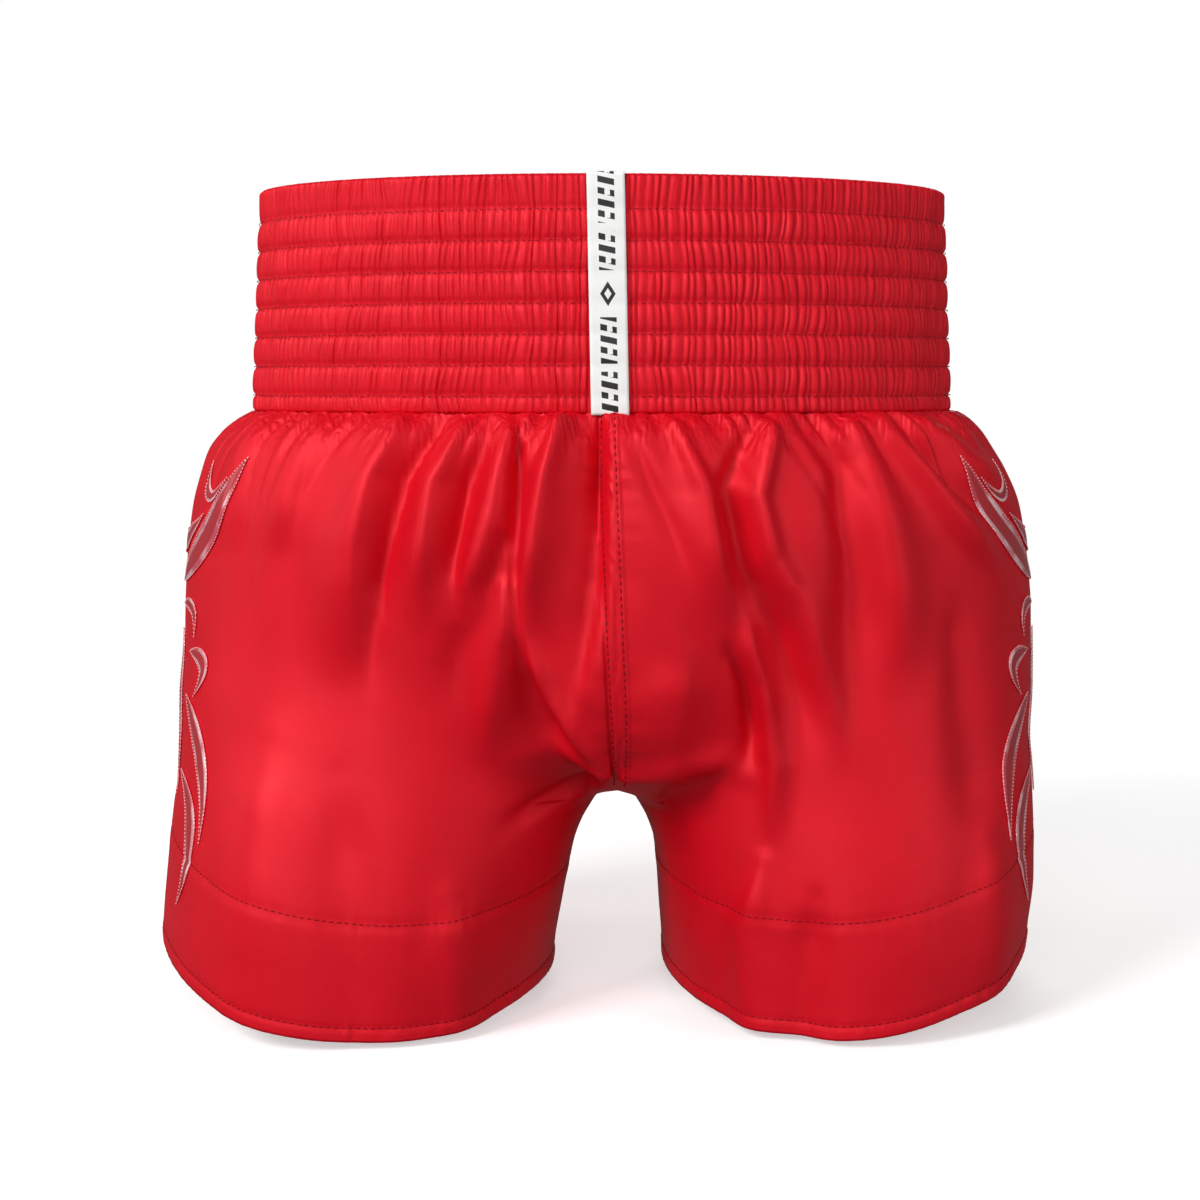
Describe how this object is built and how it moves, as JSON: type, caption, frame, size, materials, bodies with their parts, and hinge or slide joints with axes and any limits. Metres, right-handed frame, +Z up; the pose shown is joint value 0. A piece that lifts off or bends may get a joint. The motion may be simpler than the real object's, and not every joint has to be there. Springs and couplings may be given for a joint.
{
  "type": "boxing shorts",
  "caption": "Short satin boxing shorts with a wide gathered elastic waistband, a label tape at the back, wide hems and curved foil blades down the sides.",
  "frame": {"origin": "centre of the waist opening, in the plane of the top rim", "axes": "+Z up, the back of the shorts faces -Y, +X towards the wearer's right leg, all in metres"},
  "size_m": [0.395, 0.2335, 0.361],
  "materials": {
    "satin_red": "glossy red polyester satin",
    "satin_facing": "red polyester satin, matt reverse side",
    "elastic_white": "woven white elastic",
    "label_white": "woven white label tape with a plain black bar pattern",
    "foil_pink": "glossy pink silver foil film edged with metallic thread"
  },
  "bodies": {
    "root": {"waistband_casing": "satin_red", "elastic_row_1": "elastic_white", "elastic_row_2": "elastic_white", "elastic_row_3": "elastic_white", "elastic_row_4": "elastic_white", "elastic_row_5": "elastic_white", "elastic_row_6": "elastic_white", "elastic_row_7": "elastic_white", "back_label_tape": "label_white", "left_leg_panel": "satin_red", "left_hem_facing": "satin_facing", "left_claw_blade": "foil_pink", "left_upper_blade": "foil_pink", "left_hip_blade": "foil_pink", "left_spur_blade": "foil_pink", "left_side_blade": "foil_pink", "left_hook_blade": "foil_pink", "left_long_blade": "foil_pink", "left_hem_blade": "foil_pink", "right_leg_panel": "satin_red", "right_hem_facing": "satin_facing", "right_claw_blade": "foil_pink", "right_upper_blade": "foil_pink", "right_hip_blade": "foil_pink", "right_spur_blade": "foil_pink", "right_side_blade": "foil_pink", "right_hook_blade": "foil_pink", "right_long_blade": "foil_pink", "right_hem_blade": "foil_pink"}
  },
  "joints": []
}
